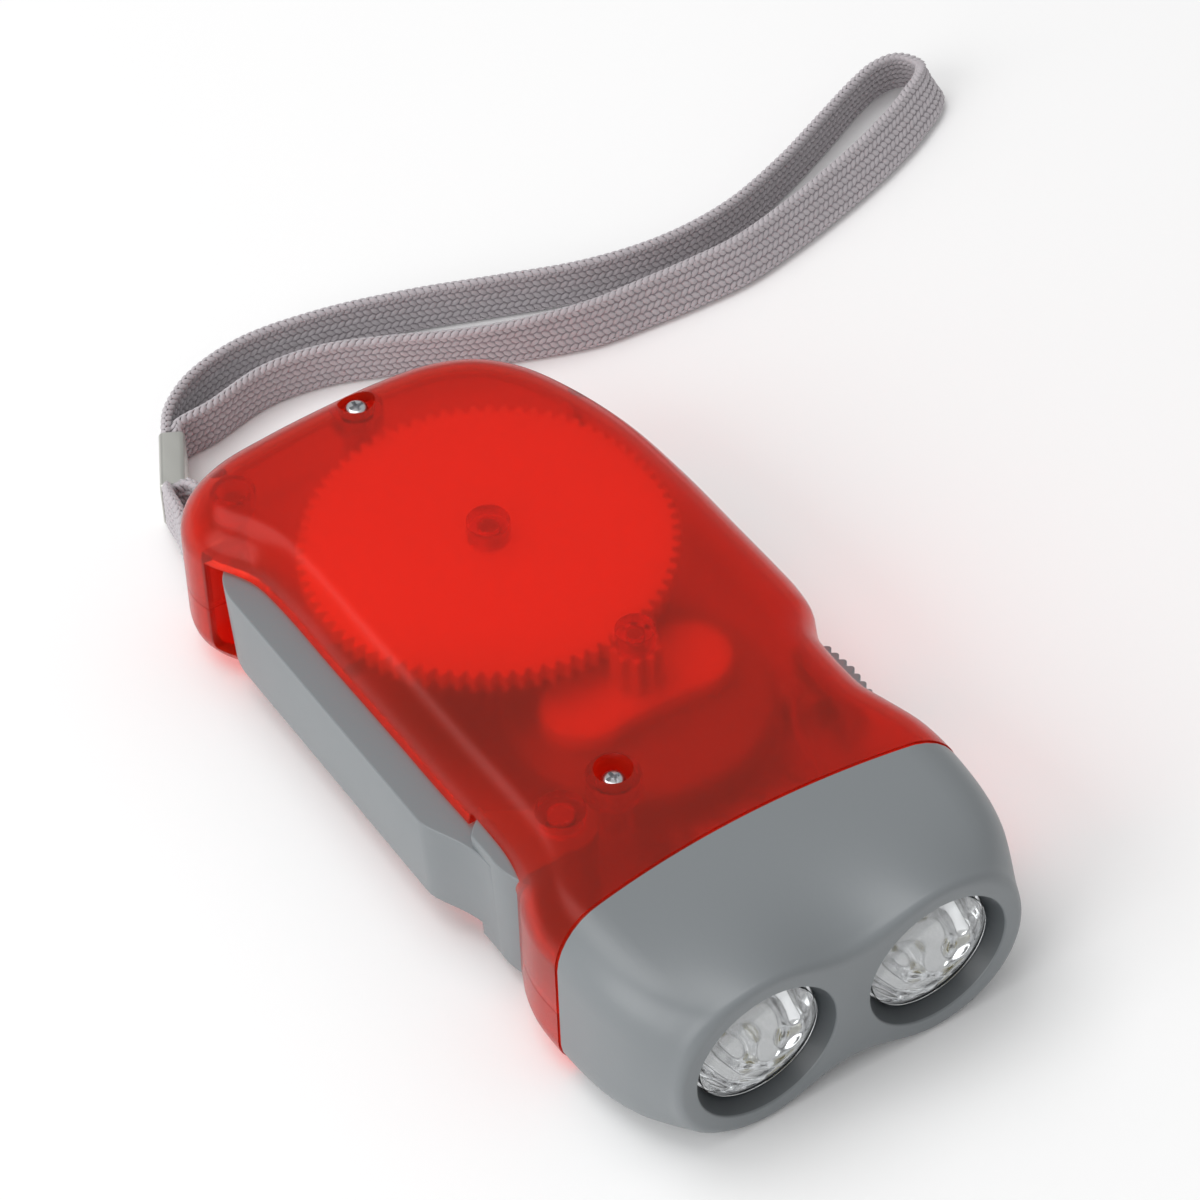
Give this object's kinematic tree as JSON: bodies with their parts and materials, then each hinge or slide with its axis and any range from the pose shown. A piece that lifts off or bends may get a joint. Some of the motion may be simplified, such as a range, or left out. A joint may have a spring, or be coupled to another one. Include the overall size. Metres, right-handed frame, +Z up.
{
  "type": "hand crank flashlight",
  "caption": "Squeeze-lever dynamo torch with a translucent housing over its gear train, a grey lamp head, a slide switch and a flat wrist strap.",
  "frame": {"origin": "middle of the torch's flat underside, the strap left out", "axes": "+Z up through the top half, the lamp head points along -Y, the squeeze lever is on the -X side and the slide switch on the +X side"},
  "size_m": [0.1381, 0.1409, 0.0245],
  "materials": {
    "housing": "satin translucent red",
    "grey_plastic": "fine satin grain",
    "lens": "clear, polished",
    "reflector": "metallised bowl",
    "lamp": "clear resin",
    "board": "green lacquer",
    "steel": "plated",
    "dark_steel": "dark plated",
    "white_plastic": "natural acetal",
    "copper": "enamelled copper wire",
    "lead_cover": "soft insulation",
    "crimp": "brushed, thin folded sheet",
    "strap": "flat braid"
  },
  "bodies": {
    "housing": {"bottom_shell": "housing", "top_shell": "housing", "head_bezel": "grey_plastic", "lens_left": "lens", "lens_right": "lens", "reflector_left": "reflector", "reflector_right": "reflector", "led_left": "lamp", "led_right": "lamp", "led_board": "board", "lever_pin": "steel", "lever_spring": "steel", "gear_axle": "steel", "rotor_axle": "steel", "coil_bobbin": "white_plastic", "coil_winding": "copper", "lower_pole": "steel", "upper_pole": "steel", "rear_screw": "steel", "front_screw": "steel", "cell_1": "steel", "cell_2": "steel", "cell_3": "steel", "cell_contact_left": "steel", "cell_contact_right": "steel", "switch_plate": "grey_plastic", "switch_block": "steel", "coil_lead": "lead_cover", "cell_lead": "lead_cover", "board_lead": "lead_cover", "strap_crimp": "crimp", "wrist_strap": "strap", "strap_tail": "strap"},
    "lever": {"squeeze_lever": "grey_plastic"},
    "gear": {"drive_gear": "white_plastic", "drive_pinion": "white_plastic"},
    "rotor": {"rotor_cup": "dark_steel", "ring_magnet": "dark_steel", "rotor_hub": "white_plastic"},
    "switch": {"switch_knob": "grey_plastic"}
  },
  "joints": [
    {"name": "lever_hinge", "type": "hinge", "parent": "housing", "child": "lever", "pos_m": [-0.016, -0.0201, 0.01225], "axis": [0, 0, 1], "range_deg": [0, 18], "stiffness_Nm_per_rad": 0.25, "springref_deg": 34.38},
    {"name": "gear_spin", "type": "hinge", "parent": "housing", "child": "gear", "pos_m": [0.00191, 0.024, 0.01225], "axis": [0, 0, 1], "range_deg": [-200, 0]},
    {"name": "rotor_spin", "type": "hinge", "parent": "housing", "child": "rotor", "pos_m": [0.0066, -0.00106, 0.01225], "axis": [0, 0, 1], "range_deg": [0, 1660]},
    {"name": "switch_slide", "type": "slide", "parent": "housing", "child": "switch", "axis": [0, -1, 0], "range_m": [0, 0.002]}
  ],
  "couplings": [
    {"joint": "gear_spin", "follows": "lever_hinge", "ratio": -10.9},
    {"joint": "rotor_spin", "follows": "lever_hinge", "ratio": 92.044}
  ]
}
